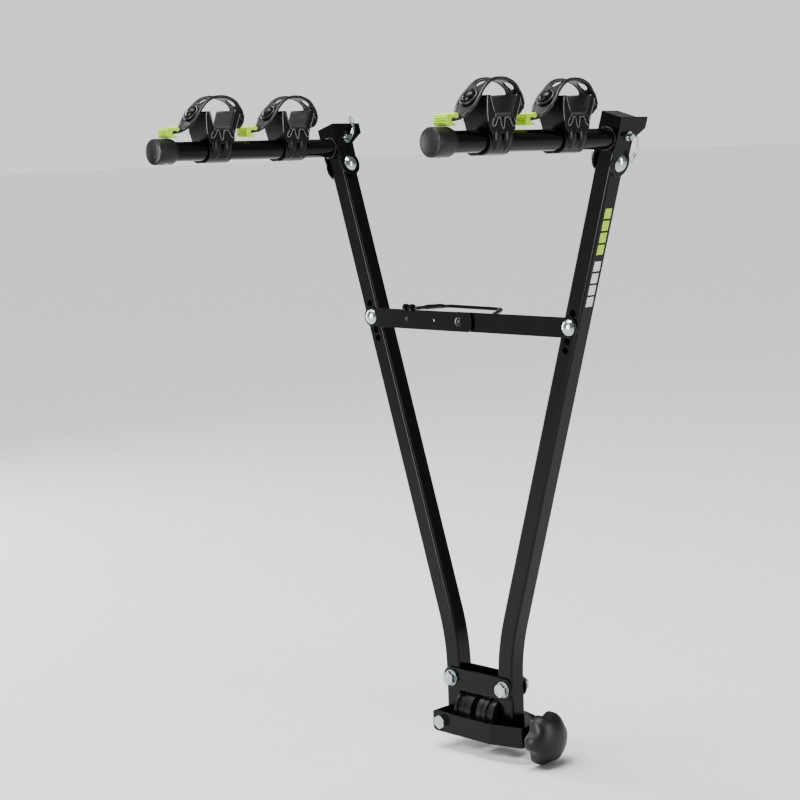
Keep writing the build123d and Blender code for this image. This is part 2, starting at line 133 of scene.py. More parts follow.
def surface(name, colour, second, rough, spread, metallic=0.0, bump=0.0, grain=900.0, patch=25.0,
            level=0.5):
    """Principled material with mottled colour, uneven roughness and fine grain."""
    made = bpy.data.materials.new(name)
    made.use_nodes = True
    tree = made.node_tree
    link = tree.links.new
    shader = tree.nodes["Principled BSDF"]
    shader.inputs["Metallic"].default_value = metallic
    shader.inputs["Specular IOR Level"].default_value = level
    place = node(tree, "ShaderNodeTexCoord")
    cloud = node(tree, "ShaderNodeTexNoise", Scale=patch, Detail=6.0, Roughness=0.6)
    fine = node(tree, "ShaderNodeTexNoise", Scale=grain, Detail=3.0)
    for texture in (cloud, fine):
        link(place.outputs["Object"], texture.inputs["Vector"])
    ramp = node(tree, "ShaderNodeValToRGB")
    ramp.color_ramp.elements[0].position = 0.35
    ramp.color_ramp.elements[0].color = (*colour, 1)
    ramp.color_ramp.elements[1].position = 0.75
    ramp.color_ramp.elements[1].color = (*second, 1)
    link(cloud.outputs["Fac"], ramp.inputs["Fac"])
    link(ramp.outputs["Color"], shader.inputs["Base Color"])
    gloss = node(tree, "ShaderNodeMapRange")
    gloss.inputs["To Min"].default_value = rough - spread
    gloss.inputs["To Max"].default_value = rough + spread
    link(cloud.outputs["Fac"], gloss.inputs["Value"])
    link(gloss.outputs["Result"], shader.inputs["Roughness"])
    relief = node(tree, "ShaderNodeBump", Strength=bump, Distance=0.0004)
    link(fine.outputs["Fac"], relief.inputs["Height"])
    link(relief.outputs["Normal"], shader.inputs["Normal"])
    return made


MATERIALS = {
    "black_steel": surface("powder coat", (0.0016, 0.0016, 0.0017), (0.0030, 0.0030, 0.0032), 0.17, 0.05,
                           bump=0.07, grain=650, level=0.15),
    "cast_black": surface("cast black", (0.0045, 0.004, 0.0034), (0.011, 0.009, 0.007), 0.30, 0.10,
                          bump=0.35, grain=420, level=0.22),
    "zinc_steel": surface("zinc plate", (0.46, 0.52, 0.51), (0.28, 0.34, 0.35), 0.20, 0.09,
                          metallic=1.0, bump=0.12, grain=600, patch=90),
    "black_plastic": surface("moulded plastic", (0.003, 0.003, 0.0033), (0.006, 0.006, 0.0064), 0.26, 0.08,
                             bump=0.12, grain=1300, level=0.16),
    "soft_rubber": surface("soft rubber", (0.008, 0.008, 0.0084), (0.015, 0.015, 0.0155), 0.34, 0.07,
                           bump=0.10, grain=1000, level=0.26),
    "lime_plastic": surface("lime plastic", (0.50, 0.93, 0.0), (0.60, 1.0, 0.0), 0.36, 0.05,
                            bump=0.10, grain=1200, level=0.25),
    "cap_plastic": surface("cap plastic", (0.006, 0.006, 0.0063), (0.011, 0.011, 0.0115), 0.40, 0.08,
                           bump=0.30, grain=1500, level=0.20),
    "knob_plastic": surface("knob plastic", (0.005, 0.005, 0.0053), (0.009, 0.009, 0.0095), 0.38, 0.07,
                            bump=0.30, grain=1400, level=0.22),
    # Light grey for the thin lines traced along the cradle and liner outlines: painted edge highlights.
    "painted_edge_highlight": surface("painted edge highlight", (0.14, 0.14, 0.142), (0.26, 0.26, 0.265), 0.26, 0.06,
                            bump=0.10, grain=900),
    "dull_zinc": surface("dull zinc", (0.30, 0.34, 0.34), (0.20, 0.23, 0.24), 0.34, 0.10,
                         metallic=1.0, bump=0.15, grain=600, patch=120),
    "print_white": surface("white print", (0.85, 0.85, 0.84), (0.80, 0.80, 0.80), 0.45, 0.05, bump=0.05),
    "print_lime": surface("lime print", (0.48, 0.85, 0.0), (0.54, 0.90, 0.004), 0.45, 0.05, bump=0.05),
}
SLOT_OF = {row["node"]: row["material_slot"] for row in frame["record"]["subparts"]}


# ---------------------------------------------------------------- mesh helpers
def mesh_object(name, points, faces, place=None):
    """Object from points in millimetres, moved by a matrix whose translation is in metres."""
    mesh = bpy.data.meshes.new(name)
    mesh.from_pydata([Vector(p) * MM for p in points], [], faces)
    if place is not None:
        mesh.transform(place)
    made = bpy.data.objects.new(name, mesh)
    bpy.context.scene.collection.objects.link(made)
    return made


def apply_modifiers(made):
    """Bake the object's modifiers into its mesh."""
    shown = bpy.context.evaluated_depsgraph_get()
    mesh = bpy.data.meshes.new_from_object(made.evaluated_get(shown))
    made.modifiers.clear()
    made.data = mesh
    return made


def clean(made, merge=0.02):
    """Merge doubled points and turn every face outwards."""
    work = bmesh.new()
    work.from_mesh(made.data)
    bmesh.ops.remove_doubles(work, verts=work.verts, dist=merge * MM)
    bmesh.ops.recalc_face_normals(work, faces=work.faces)
    work.to_mesh(made.data)
    work.free()
    return made


def smooth(made):
    """Smooth shading all over."""
    made.data.polygons.foreach_set("use_smooth", [True] * len(made.data.polygons))
    return made


def bevelled(made, width, segments=3, angle=32.0):
    """Round the object's sharp edges, in millimetres."""
    modifier = made.modifiers.new("round", "BEVEL")
    modifier.width = width * MM
    modifier.segments = segments
    modifier.limit_method = "ANGLE"
    modifier.angle_limit = radians(angle)
    modifier.harden_normals = True
    modifier.use_clamp_overlap = True
    flat = made.modifiers.new("flat", "WEIGHTED_NORMAL")
    flat.weight = 90
    return apply_modifiers(smooth(made))


def finish(made, body, slot, *nodes, material=None):
    """Give a piece its body and the material of its slot or the one named, and hide the CAD nodes it stands
    for.
    """
    made.data.materials.clear()
    made.data.materials.append(MATERIALS[material or slot])
    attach(made, body)
    if nodes:
        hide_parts(*nodes)
    return made


def soft_copy(name, width, segments=3, material=None, outline=None):
    """The CAD node's own shape with its sharp edges rounded, cut to an x-z outline where one is given."""
    source = frame["nodes"][name]
    made = bpy.data.objects.new(f"{name}_finished", source.data.copy())
    bpy.context.scene.collection.objects.link(made)
    work = bmesh.new()
    work.from_mesh(made.data)
    bmesh.ops.remove_doubles(work, verts=work.verts, dist=0.005 * MM)
    bmesh.ops.dissolve_limit(work, angle_limit=radians(0.6), verts=work.verts, edges=work.edges)
    work.to_mesh(made.data)
    work.free()
    if outline:
        count = len(outline)
        points = [(x, y, z) for y in (-60, 60) for x, z in outline]
        faces = [list(range(count))[::-1], list(range(count, 2 * count))]
        faces += [[i, (i + 1) % count, count + (i + 1) % count, count + i] for i in range(count)]
        block = clean(mesh_object(f"{name}_block", points, faces))
        trim = made.modifiers.new("trim", "BOOLEAN")
        trim.operation = "INTERSECT"
        trim.solver = "EXACT"
        trim.object = block
        apply_modifiers(made)
        bpy.data.objects.remove(block)
    bevelled(made, width, segments)
    return finish(made, source["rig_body"], SLOT_OF[name], name, material=material)


def prism(name, outline, low_x, high_x, place):
    """Solid between two x planes with an outline drawn in y and z."""
    count = len(outline)
    points = [(x, y, z) for x in (low_x, high_x) for y, z in outline]
    faces = [list(range(count))[::-1], list(range(count, 2 * count))]
    faces += [[i, (i + 1) % count, count + (i + 1) % count, count + i] for i in range(count)]
    return clean(mesh_object(name, points, faces, place))


def lathe(name, profile, place, steps=64, shape=None):
    """Surface turned about the local y axis from (y, radius) pairs, which shape may change."""
    points = []
    for y, radius in profile:
        for step in range(steps):
            turn = 2 * pi * step / steps
            r = shape(turn, y, radius) if shape else radius
            points.append((r * cos(turn), y, r * sin(turn)))
    faces = []
    for ring in range(len(profile) - 1):
        for step in range(steps):
            after = (step + 1) % steps
            faces.append([ring * steps + step, ring * steps + after, (ring + 1) * steps + after,
                          (ring + 1) * steps + step])
    return smooth(clean(mesh_object(name, points, faces, place)))


def pipe(name, route, radius, place=None, ripple=0.0, pitch=2.2, closed=False, steps=14, fine=0.8):
    """Round wire or weld bead along a smooth curve through the route's points."""
    curve = bpy.data.curves.new(name, "CURVE")
    curve.dimensions = "3D"
    spline = curve.splines.new("NURBS")
    spline.points.add(len(route) - 1)
    for point, place_of in zip(spline.points, route):
        point.co = (*(Vector(place_of) * MM), 1)
    spline.order_u = 3
    spline.use_endpoint_u = not closed
    spline.use_cyclic_u = closed
    spline.resolution_u = 10
    line = bpy.data.objects.new(f"{name}_line", curve)
    bpy.context.scene.collection.objects.link(line)
    shown = bpy.context.evaluated_depsgraph_get()
    mesh = bpy.data.meshes.new_from_object(line.evaluated_get(shown))
    path = [v.co / MM for v in mesh.vertices]
    bpy.data.objects.remove(line)
    return tube_along(name, resample(path, fine, closed), radius, place, ripple, pitch, closed, steps)


def resample(path, gap, closed):
    """Points at even distances along a line of points."""
    if closed:
        path = path + [path[0]]
    lengths = [0.0]
    for a, b in zip(path, path[1:]):
        lengths.append(lengths[-1] + (b - a).length)
    count = max(8, int(lengths[-1] / gap))
    result, index = [], 0
    for step in range(count + (0 if closed else 1)):
        target = lengths[-1] * step / count
        while index < len(path) - 2 and lengths[index + 1] < target:
            index += 1
        span = max(lengths[index + 1] - lengths[index], 1e-9)
        result.append(path[index].lerp(path[index + 1], (target - lengths[index]) / span))
    return result


def tube_along(name, path, radius, place, ripple, pitch, closed, steps):
    """Skin of rings along a line of points, turned with the line, with rounded ends."""
    points, faces = [], []
    count = len(path)
    side = None
    walked = 0.0
    for i, here in enumerate(path):
        before = path[i - 1] if (i or closed) else here
        after = path[(i + 1) % count] if (i < count - 1 or closed) else here
        ahead = (after - before).normalized()
        if side is None:
            side = ahead.orthogonal().normalized()
        side = (side - ahead * side.dot(ahead)).normalized()
        up = ahead.cross(side)
        walked += (here - path[i - 1]).length if i else 0.0
        r = radius * (1 + ripple * sin(2 * pi * walked / pitch))
        if not closed:
            near = min(i, count - 1 - i) * (path[1] - path[0]).length
            if near < radius:
                r *= sqrt(max(0.0, 1 - (1 - near / radius) ** 2)) * 0.98 + 0.02
        for step in range(steps):
            turn = 2 * pi * step / steps
            points.append(here + (side * cos(turn) + up * sin(turn)) * r)
    rings = count if closed else count - 1
    for ring in range(rings):
        following = (ring + 1) % count
        for step in range(steps):
            after = (step + 1) % steps
            faces.append([ring * steps + step, ring * steps + after, following * steps + after,
                          following * steps + step])
    if not closed:
        faces.append(list(range(steps))[::-1])
        faces.append([(count - 1) * steps + step for step in range(steps)])
    return smooth(clean(mesh_object(name, points, faces, place), merge=0.001))


# ---------------------------------------------------------------- frames of the arms and cradles
def axes_matrix(x_axis, y_axis, origin):
    """Matrix with the given x and y axes, at an origin in metres."""
    x_axis, y_axis = Vector(x_axis).normalized(), Vector(y_axis).normalized()
    z_axis = x_axis.cross(y_axis)
    rows = Matrix((x_axis, y_axis, z_axis)).transposed().to_4x4()
    rows.translation = origin
    return rows


def leg_matrix(side):
    """Frame at the arm pivot: x across the leg, z along it."""
    joint = JOINTS[f"{side}_arm_fold"]
    return axes_matrix(joint["axis"], (0, 1, 0), joint["pos_m"])


def arm_matrix(side):
    """The pivot's frame with the small rise of the arm."""
    return leg_matrix(side) @ Matrix.Rotation(-ARM_RISE, 4, "X")


def cradle_matrix(side, place):
    """Upright frame on the tube's axis under one cradle."""
    joint = JOINTS[f"{side}_{place}_strap_open"]
    turned = axes_matrix(-Vector(joint["axis"]), arm_matrix(side).col[1].to_3d(), joint["pos_m"])
    return turned @ Matrix.Translation((0, -STRAP_PIN[0] * MM, -STRAP_PIN[1] * MM))


def arc(cy, cz, radius, start, end, count):
    """Points of a circular arc in y and z, angles in degrees."""
    return [(cy + radius * cos(radians(start + (end - start) * i / (count - 1))),
             cz + radius * sin(radians(start + (end - start) * i / (count - 1)))) for i in range(count)]


# ---------------------------------------------------------------- carried-over CAD nodes
DULL = {"leg_pivot_washers": "dull_zinc", "leg_pivot_nuts": "dull_zinc", "knee_rivet_head": "cast_black",
        "knee_rivet_tail": "dull_zinc"}


def finish_metalwork():
    """Rounded copies of the plates, bars, brackets, bolts and nuts."""
    widths = {
        "base_front_plate": 0.7, "base_back_plate": 0.7, "clamp_spacers": 0.5,
        "left_strut_bar": 0.6, "right_strut_bar": 0.6, "leg_pivot_bolts": 0.5, "leg_pivot_nuts": 0.5,
        "leg_pivot_washers": 0.3, "clamp_hinge_bolt": 0.5, "clamp_hinge_nut": 0.5, "clamp_weld_nut": 0.5,
        "pressure_pad": 0.6, "clamp_screw": 0.5, "knee_rivet_head": 0.3, "knee_rivet_tail": 0.3,
        "bail_lugs": 0.5, "left_ball_cup": 0.8, "right_ball_cup": 0.8,
    }
    for side in SIDES:
        widths |= {f"{side}_strut_bolt": 0.4, f"{side}_strut_nut": 0.5, f"{side}_arm_bolt": 0.4,
                   f"{side}_arm_nut": 0.5, f"{side}_arm_bracket": 0.9, f"{side}_lock_pin": 0.5,
                   f"{side}_cap_rivet": 0.3}
    for name, width in widths.items():
        soft_copy(name, width, material=DULL.get(name))
    low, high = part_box("clamp_yoke")
    left, bottom, top = low[0] / MM, low[2] / MM, high[2] / MM
    rounded = [*arc(left + 11, bottom + 11, 11, 180, 270, 9), (140, bottom - 1), (140, top + 1),
               *arc(left + 6, top - 6, 6, 90, 180, 6)]
    soft_copy("clamp_yoke", 0.7, outline=rounded)


def paint_cad():
    """Materials on every CAD node, shown or not."""
    for name, made in frame["nodes"].items():
        made.data.materials.clear()
        made.data.materials.append(MATERIALS[SLOT_OF[name]])


# ---------------------------------------------------------------- arms
def weld_ring(side):
    """Rippled bead where the arm tube meets the bracket."""
    count = 40
    route = []
    for i in range(count):
        turn = 2 * pi * i / count
        route.append((WELD_R * cos(turn), WELD_Y, ARM_ABOVE_PIVOT + WELD_R * sin(turn)))
    bead = pipe(f"{side}_arm_weld", route, 1.9, arm_matrix(side), ripple=0.16, pitch=2.6, closed=True)
    return finish(bead, f"{side}_arm", "black_steel")


def end_cap(side):
    """Thick moulded cap with a rolled rim, a dished face and a shallow band at its mouth."""
    low = CAP_START
    profile = [(low + 0.7, 0.05), (low + 0.7, 14.0), (low + 0.3, 14.7), (low, 15.4), (low + 0.2, 16.2),
               (low + 0.9, 16.9), (low + 2.0, CAP_R), (low + 26.0, CAP_R), (low + 26.6, 16.7),
               (low + 27.0, 16.0), (low + 29.3, 15.8), (low + CAP_LENGTH, 15.3), (low + CAP_LENGTH, BORE_R),
               (low + 22, BORE_R)]
    place = arm_matrix(side) @ Matrix.Translation((0, 0, ARM_ABOVE_PIVOT * MM))
    cap = lathe(f"{side}_cap_shell", profile, place, steps=96)
    return finish(cap, f"{side}_arm", "black_plastic", f"{side}_end_cap", material="cap_plastic")


def lock_wire(side):
    """Spring wire clip through the pin's eye: it stands on the left arm and hangs on the right."""
    x, y, z = LOCK_EYE
    if side == "left":
        route = [(x, y - 8, z + 1), (x, y, z), (x, y + 9, z + 3), (x, y + 14, z + 12), (x, y + 16, z + 24),
                 (x, y + 13.5, z + 31), (x, y + 9.5, z + 30), (x, y + 9, z + 24), (x + 1.4, y + 12.5, z + 20),
                 (x + 1.4, y + 10, z + 10), (x + 1.4, y + 4, z + 5)]
    else:
        route = [(x, y - 9, z), (x, y + 2, z), (x, y + 13, z), (x, y + 17, z - 9), (x, y + 17, z - 24),
                 (x, y + 13, z - 33), (x, y + 10, z - 30), (x + 1.5, y + 12, z - 20)]
    wire = pipe(f"{side}_wire_clip", route, 1.3, arm_matrix(side), fine=0.6)
    return finish(wire, f"{side}_lock", "zinc_steel", f"{side}_lock_clip")


# ---------------------------------------------------------------- cradles
def cradle_parts(side, place):
    """Moulded cradle: yoke with two ears, snap sleeve with a lip, leaf bosses, strap lugs and pin."""
    frame_here = cradle_matrix(side, place)
    name = f"{side}_{place}"
    yoke = [(-22, 12), (-25.5, 22), (-26.6, 31), (-26.4, 46.5), (-25.6, 50.2), (-23.6, 51.8), (-21.6, 50.6),
            (-14.6, 30.5), (-12.0, 26), (12.0, 26), (14.6, 30.5), (22.0, 50.6), (24.0, 52.6), (27.6, 51.8),
            (30, 48.5), (29.6, 44), (23.0, 30), (21.5, 22), (21, 14), (17, 8), (-17, 8)]
    body = prism(f"{name}_yoke", yoke, -CRADLE_HALF, CRADLE_HALF, frame_here)
    bevelled(body, 1.6, 4, 18)
    finish(body, f"{side}_arm", "black_plastic", f"{name}_cradle")
    # Light grey lines along the yoke's outline on both end faces: painted edge highlights.
    for end, x in (("far", -CRADLE_HALF), ("near", CRADLE_HALF)):
        for label, part in (("front", yoke[1:5]), ("inner", yoke[6:9]), ("rear", yoke[11:13]),
                            ("back", yoke[14:18])):
            route = [(x, y, z) for y, z in part]
            bead = pipe(f"{name}_{label}_bead_{end}", route, EDGE_HIGHLIGHT_R, frame_here)
            finish(bead, f"{side}_arm", "black_plastic", material="painted_edge_highlight")
    ring = arc(0, 0, SLEEVE_OUT_R, -122, 200, 60) + arc(0, 0, SLEEVE_IN_R, 200, -122, 60)
    sleeve = sleeve_solid(f"{name}_sleeve", ring, CRADLE_HALF, frame_here)
    finish(sleeve, f"{side}_arm", "black_plastic")
    for index, y in enumerate((-9.0, 9.5)):
        leaf = leaf_boss(f"{name}_leaf_{index}", y, frame_here)
        finish(leaf, f"{side}_arm", "black_plastic")
    lug_outline = [(21, 24), (33, 32), (39.5, 36), (41, 41), (40, 46), (36, 47.5), (27, 43), (23, 34)]
    for index, x in enumerate((-14.2, 14.2)):
        lug = prism(f"{name}_lug_{index}", lug_outline, x - 1.2, x + 1.2, frame_here)
        finish(bevelled(lug, 0.5, 2, 20), f"{side}_arm", "black_plastic")
    pin = lathe(f"{name}_strap_pin", [(-15.8, 0.05), (-15.8, 3.6), (-15.2, 4.2), (-15.2, 2.9), (15.2, 2.9),
                                      (15.2, 4.2), (15.8, 3.6), (15.8, 0.05)],
                frame_here @ Matrix.Translation((0, STRAP_PIN[0] * MM, STRAP_PIN[1] * MM))
                @ Matrix.Rotation(-pi / 2, 4, "Z"), steps=24)
    finish(pin, f"{side}_arm", "black_plastic")


def sleeve_solid(name, ring, half, place):
    """C-shaped sleeve along the tube, drawn in x and z, with an outward lip at its open edge."""
    lip = [(-8.2, -13.6), (-14.0, -14.4), (-19.6, -12.6), (-21.4, -10.4), (-21.8, -11.8), (-20.0, -14.4),
           (-14.6, -16.2), (-8.4, -15.8)]
    count = len(ring)
    points = [(x, y, z) for y in (-half, half) for x, z in ring]
    faces = [[i, (i + 1) % count, count + (i + 1) % count, count + i] for i in range(count)]
    half_count = count // 2
    for level in (0, count):
        for i in range(half_count - 1):
            faces.append([level + i, level + i + 1, level + count - 2 - i, level + count - 1 - i])
    start = len(points)
    points += [(x, y, z) for y in (-half, half) for x, z in lip]
    edges = len(lip)
    faces += [[start + i, start + (i + 1) % edges, start + edges + (i + 1) % edges, start + edges + i]
              for i in range(edges)]
    faces += [[start + i for i in range(edges)], [start + edges + i for i in range(edges)]]
    return bevelled(clean(mesh_object(name, points, faces, place)), 0.9, 3, 40)


def leaf_boss(name, middle, place):
    """Pointed leaf-shaped boss on the +X side of the cradle's neck."""
    rows, columns = 16, 10
    points, faces = [], []
    for row in range(rows + 1):
        along = row / rows
        z = 20.0 - 31.0 * along
        width = 7.2 * sin(pi * min(1.0, 0.12 + along * 0.88)) ** 0.8 + 0.15
        surface_x = LEAF_REACH if z > 7 else sqrt(max(0.0, LEAF_REACH ** 2 - (z - 7) ** 2 * 0.42))
        for column in range(columns + 1):
            across = 2 * column / columns - 1
            rise = 2.6 * (1 - across ** 2) ** 0.6 * sin(pi * min(1, max(0, along))) ** 0.5
            points.append((surface_x - 1.6 + rise, middle + width * across, z))
    for row in range(rows):
        for column in range(columns):
            a = row * (columns + 1) + column
            faces.append([a, a + 1, a + columns + 2, a + columns + 1])
    made = mesh_object(name, points, faces, place)
    solid = made.modifiers.new("thick", "SOLIDIFY")
    solid.thickness = 2.0 * MM
    solid.offset = 0.0
    return apply_modifiers(smooth(made))


def cradle_liner(side, place):
    """Soft seat liner: a folded strip with looped corrugations under the seat."""
    frame_here = cradle_matrix(side, place)
    route = [(-21.0, 51.0), (-20.0, 47.5), (-14.4, 31), (-15.4, 26), (-19.5, 20.5), (-19.2, 16.8),
             (-15.5, 16.2), (-12, 20.5), (-9.5, 26.4), (-6, 26.8), (-5.0, 22), (-3.8, 17), (-1.2, 13.2),
             (0.4, 15.0), (1.2, 20), (2.0, 26.2), (7.5, 26.8), (10.5, 25), (12.5, 20.5), (15.5, 16.4),
             (19.2, 16.6), (20.2, 20), (18.0, 26), (15, 31), (21.0, 48.5), (22.0, 51.2)]
    strip = ribbon_solid(f"{side}_{place}_liner", route, 19.4, 1.1, frame_here)
    finish(strip, f"{side}_arm", "soft_rubber", f"{side}_{place}_pad")
    # Light grey lines along the liner's edges on both sides: painted edge highlights.
    for end, x in (("far", -CRADLE_HALF - 0.5), ("near", CRADLE_HALF + 0.5)):
        line = [(x, y, z) for y, z in route[3:-3]]
        edge = pipe(f"{side}_{place}_liner_edge_{end}", line, EDGE_HIGHLIGHT_R, frame_here)
        finish(edge, f"{side}_arm", "soft_rubber", material="painted_edge_highlight")
    front = [(-22.0, 50.0), (-20.2, 51.8), (-18.2, 50.0), (-12.8, 31.5), (-10.2, 29.0), (-11.5, 26.2),
             (-14, 27), (-15.6, 30.5)]
    rear = [(23.2, 50.4), (21.2, 52.2), (19.4, 50.0), (13.2, 31.5), (10.2, 29.0), (11.5, 26.2),
            (14, 27), (15.8, 30.5)]
    seat = [(-10.6, 29.2), (10.6, 29.2), (11.6, 26.6), (-11.6, 26.6)]
    for label, outline in (("front_cheek", front), ("rear_cheek", rear), ("seat", seat)):
        cheek = prism(f"{side}_{place}_{label}", outline, -18.4, 18.4, frame_here)
        finish(bevelled(cheek, 0.7, 3, 25), f"{side}_arm", "soft_rubber")


def ribbon_solid(name, route, half, thick, place):
    """Thin strip of even thickness along a smooth line in y and z."""
    line = smooth_line(route, 6)
    normals = line_normals(line)
    upper = [(p.x + n.x * thick / 2, p.y + n.y * thick / 2) for p, n in zip(line, normals)]
    lower = [(p.x - n.x * thick / 2, p.y - n.y * thick / 2) for p, n in zip(line, normals)]
    count = len(line)
    points = [(x, y, z) for x in (-half, half) for y, z in upper + lower]
    faces = []
    for i in range(count - 1):
        for level in (0, 2 * count):
            faces.append([level + i, level + i + 1, level + count + i + 1, level + count + i])
        faces.append([i, i + 1, 2 * count + i + 1, 2 * count + i])
        faces.append([count + i, count + i + 1, 3 * count + i + 1, 3 * count + i])
    faces.append([0, count, 3 * count, 2 * count])
    faces.append([count - 1, 2 * count - 1, 4 * count - 1, 3 * count - 1])
    return bevelled(clean(mesh_object(name, points, faces, place)), 0.3, 2, 50)


def smooth_line(route, steps):
    """Catmull-Rom line through points in a plane."""
    points = [Vector(p) for p in route]
    points = [2 * points[0] - points[1], *points, 2 * points[-1] - points[-2]]
    line = []
    for a, b, c, d in zip(points, points[1:], points[2:], points[3:]):
        for step in range(steps):
            t = step / steps
            line.append(0.5 * ((2 * b) + (c - a) * t + (2 * a - 5 * b + 4 * c - d) * t ** 2
                               + (3 * b - a - 3 * c + d) * t ** 3))
    return line + [points[-2]]


def line_normals(line):
    """Unit normals of a line in a plane."""
    normals = []
    for i in range(len(line)):
        way = line[min(i + 1, len(line) - 1)] - line[max(i - 1, 0)]
        normals.append(Vector((-way.y, way.x)).normalized())
    return normals


# ---------------------------------------------------------------- straps
STRAP_ROUTE = [(40.4, 30.6), (40.8, 36), (40.8, 44), (39.6, 52), (35.5, 59.5), (27.5, 65.6), (16, 69.4),
               (4, 70.4), (-8, 68.8), (-18, 64.0), (-27, 56.4), (-35.5, 47.6), (-42.0, 39.5),
               (-47.5, 32.6), (-54, 27.8), (-61, 26.0), (-68, 25.4)]
STRAP_WIDTHS = ((0.0, 5.0), (0.02, 9.5), (0.05, 12.4), (0.085, 13.6), (0.13, 12.6), (0.18, 10.6),
                (0.26, 11.6), (0.36, 12.6), (0.46, 11.6), (0.55, 12.6), (0.63, 13.4), (0.72, 15.4),
                (0.79, 15.0), (0.85, 12.2), (0.89, 8.6), (0.93, 7.2), (1.0, 6.8))


class Band:
    """Curved strip over the seat: maps a distance along it, a distance across and a height to a point."""

    def __init__(self):
        self.line = smooth_line(STRAP_ROUTE, 10)
        self.normals = line_normals(self.line)
        self.lengths = [0.0]
        for a, b in zip(self.line, self.line[1:]):
            self.lengths.append(self.lengths[-1] + (b - a).length)
        self.total = self.lengths[-1]

    def at(self, distance):
        """Point and inward normal of the middle line."""
        distance = min(max(distance, 0.0), self.total)
        index = max(i for i, length in enumerate(self.lengths[:-1]) if length <= distance + 1e-9)
        part = (distance - self.lengths[index]) / (self.lengths[index + 1] - self.lengths[index])
        return (self.line[index].lerp(self.line[index + 1], part),
                self.normals[index].lerp(self.normals[index + 1], part).normalized())

    def near(self, y, z):
        """Distance along the line of its nearest point to (y, z)."""
        index = min(range(len(self.line)), key=lambda i: (self.line[i] - Vector((y, z))).length)
        return self.lengths[index]

    def spot(self, distance, across, height):
        """Point above the strip, in the cradle's frame."""
        middle, normal = self.at(distance)
        out = middle - normal * height
        return Vector((across, out.x, out.y))

    def half(self, distance):
        """Half width, eased between the listed stations."""
        t = min(max(distance / self.total, 0.0), 1.0)
        for (t0, w0), (t1, w1) in zip(STRAP_WIDTHS, STRAP_WIDTHS[1:]):
            if t <= t1:
                part = (t - t0) / (t1 - t0)
                return w0 + (w1 - w0) * part * part * (3 - 2 * part)
        return STRAP_WIDTHS[-1][1]


BAND = Band()
BAND_HALF_THICK = 1.15
STRAP_WINDOWS = ((BAND.near(31, 63.5), 8.6, 5.8), (BAND.near(-15, 66), 8.6, 6.0),
                 (BAND.near(-54, 28), 3.6, 2.6))


